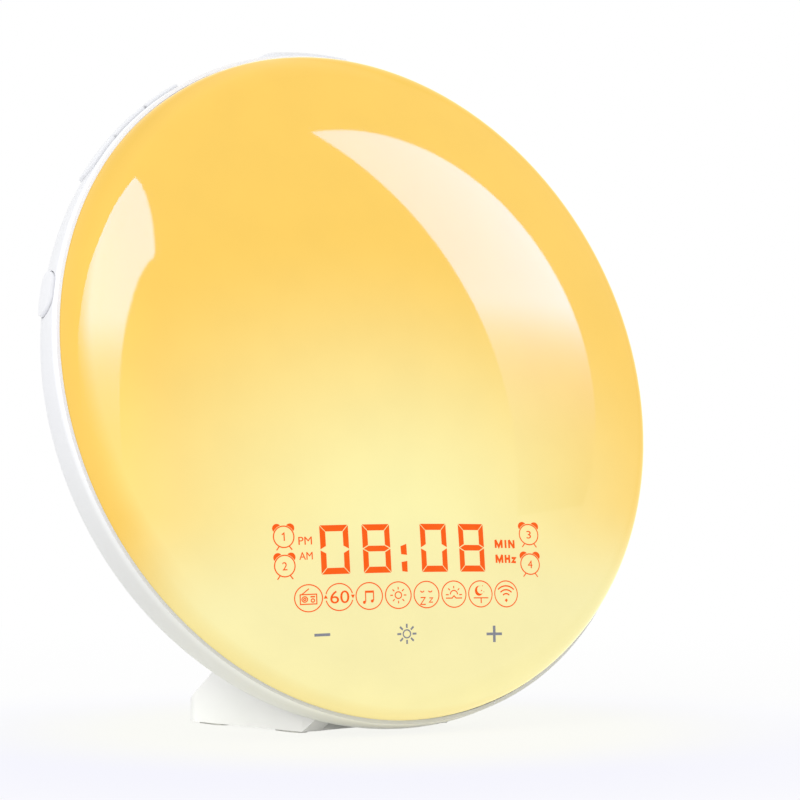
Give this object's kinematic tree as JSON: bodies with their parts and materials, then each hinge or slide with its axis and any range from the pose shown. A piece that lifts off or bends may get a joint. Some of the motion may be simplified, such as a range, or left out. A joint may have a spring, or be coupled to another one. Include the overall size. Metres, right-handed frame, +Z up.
{
  "type": "sunrise alarm clock",
  "caption": "Round wake-up light that leans back on a wedge foot, with a domed lit face, a digit display and icons behind it, touch marks and push keys round its rim.",
  "frame": {"origin": "on the table, under the middle of the whole light", "axes": "+Z up, +X to the right as seen from the front, and the lit face looks towards -Y and leans back 15 degrees"},
  "size_m": [0.1908, 0.0792, 0.1881],
  "materials": {
    "diffuser": "satin translucent plastic, lit amber at the top and pale yellow below",
    "white_plastic": "fine satin moulded plastic",
    "door_plastic": "fine satin moulded plastic",
    "key_plastic": "satin moulded plastic",
    "plunger_plastic": "plain",
    "reflector": "bright white reflector",
    "white_board": "white solder mask",
    "green_board": "green solder mask",
    "white_lamp": "yellow phosphor lens",
    "orange_lamp": "clear orange lens",
    "shroud_plastic": "plain moulded",
    "touch_foam": "conductive foam",
    "black_plastic": "plain moulded",
    "screw_steel": "zinc plated",
    "capacitor_can": "satin can",
    "shield": "tinned shield",
    "ribbon": "flat flexible cable",
    "basket": "satin black",
    "magnet": "bare plated",
    "cone_paper": "pressed paper",
    "holder_plastic": "plain moulded",
    "cell_steel": "nickel plated",
    "rubber_pads": "matte"
  },
  "bodies": {
    "lamp": {"aerial_bush": "rubber_pads", "battery_contact": "cell_steel", "battery_holder": "holder_plastic", "board_capacitors": "capacitor_can", "coin_cell": "cell_steel", "control_chips": "black_plastic", "dc_jack": "black_plastic", "diffuser_dome": "diffuser", "display_board": "green_board", "display_cable": "ribbon", "display_leds": "orange_lamp", "display_screws": "screw_steel", "display_shroud": "shroud_plastic", "key_board_screws": "screw_steel", "led_board": "white_board", "led_board_screws": "screw_steel", "light_leds": "white_lamp", "lower_left_key_board": "green_board", "lower_right_key_board": "green_board", "main_board": "green_board", "main_board_screws": "screw_steel", "rear_housing": "white_plastic", "reflector_dish": "reflector", "reflector_screws": "screw_steel", "rubber_feet": "rubber_pads", "snooze_key_board": "green_board", "speaker_cone": "cone_paper", "speaker_frame": "basket", "speaker_magnet": "magnet", "speaker_screws": "screw_steel", "stand_base": "white_plastic", "stand_cover": "white_plastic", "stand_cover_screws": "screw_steel", "stand_screws": "screw_steel", "switch_bodies": "black_plastic", "touch_pads": "touch_foam", "upper_left_key_board": "green_board", "upper_right_key_board": "green_board", "wifi_module": "shield"},
    "snooze_key_body": {"snooze_key": "key_plastic", "snooze_plunger": "plunger_plastic"},
    "upper_left_key_a_body": {"upper_left_key_a": "key_plastic", "upper_left_plunger_a": "plunger_plastic"},
    "upper_left_key_b_body": {"upper_left_key_b": "key_plastic", "upper_left_plunger_b": "plunger_plastic"},
    "upper_left_key_c_body": {"upper_left_key_c": "key_plastic", "upper_left_plunger_c": "plunger_plastic"},
    "lower_left_key_body": {"lower_left_key": "key_plastic", "lower_left_plunger": "plunger_plastic"},
    "upper_right_key_a_body": {"upper_right_key_a": "key_plastic", "upper_right_plunger_a": "plunger_plastic"},
    "upper_right_key_b_body": {"upper_right_key_b": "key_plastic", "upper_right_plunger_b": "plunger_plastic"},
    "upper_right_key_c_body": {"upper_right_key_c": "key_plastic", "upper_right_plunger_c": "plunger_plastic"},
    "lower_right_key_body": {"lower_right_key": "key_plastic", "lower_right_plunger": "plunger_plastic"},
    "battery_door_body": {"battery_door": "door_plastic"}
  },
  "joints": [
    {"name": "snooze_key_press", "type": "slide", "parent": "lamp", "child": "snooze_key_body", "axis": [0, -0.2588, -0.9659], "range_m": [0, 0.0005], "stiffness_N_per_m": 600, "springref_m": -0.0005},
    {"name": "upper_left_key_a_press", "type": "slide", "parent": "lamp", "child": "upper_left_key_a_body", "axis": [0.6428, -0.1983, -0.7399], "range_m": [0, 0.0005], "stiffness_N_per_m": 600, "springref_m": -0.0005},
    {"name": "upper_left_key_b_press", "type": "slide", "parent": "lamp", "child": "upper_left_key_b_body", "axis": [0.6428, -0.1983, -0.7399], "range_m": [0, 0.0005], "stiffness_N_per_m": 600, "springref_m": -0.0005},
    {"name": "upper_left_key_c_press", "type": "slide", "parent": "lamp", "child": "upper_left_key_c_body", "axis": [0.6428, -0.1983, -0.7399], "range_m": [0, 0.0005], "stiffness_N_per_m": 600, "springref_m": -0.0005},
    {"name": "lower_left_key_press", "type": "slide", "parent": "lamp", "child": "lower_left_key_body", "axis": [0.9659, -0.067, -0.25], "range_m": [0, 0.0005], "stiffness_N_per_m": 600, "springref_m": -0.0005},
    {"name": "upper_right_key_a_press", "type": "slide", "parent": "lamp", "child": "upper_right_key_a_body", "axis": [-0.6428, -0.1983, -0.7399], "range_m": [0, 0.0005], "stiffness_N_per_m": 600, "springref_m": -0.0005},
    {"name": "upper_right_key_b_press", "type": "slide", "parent": "lamp", "child": "upper_right_key_b_body", "axis": [-0.6428, -0.1983, -0.7399], "range_m": [0, 0.0005], "stiffness_N_per_m": 600, "springref_m": -0.0005},
    {"name": "upper_right_key_c_press", "type": "slide", "parent": "lamp", "child": "upper_right_key_c_body", "axis": [-0.6428, -0.1983, -0.7399], "range_m": [0, 0.0005], "stiffness_N_per_m": 600, "springref_m": -0.0005},
    {"name": "lower_right_key_press", "type": "slide", "parent": "lamp", "child": "lower_right_key_body", "axis": [-0.9659, -0.067, -0.25], "range_m": [0, 0.0005], "stiffness_N_per_m": 600, "springref_m": -0.0005},
    {"name": "battery_door_turn", "type": "hinge", "parent": "lamp", "child": "battery_door_body", "pos_m": [-0.035, 0.02354, 0.08265], "axis": [0, 0.9659, -0.2588], "range_deg": [0, 60]}
  ]
}
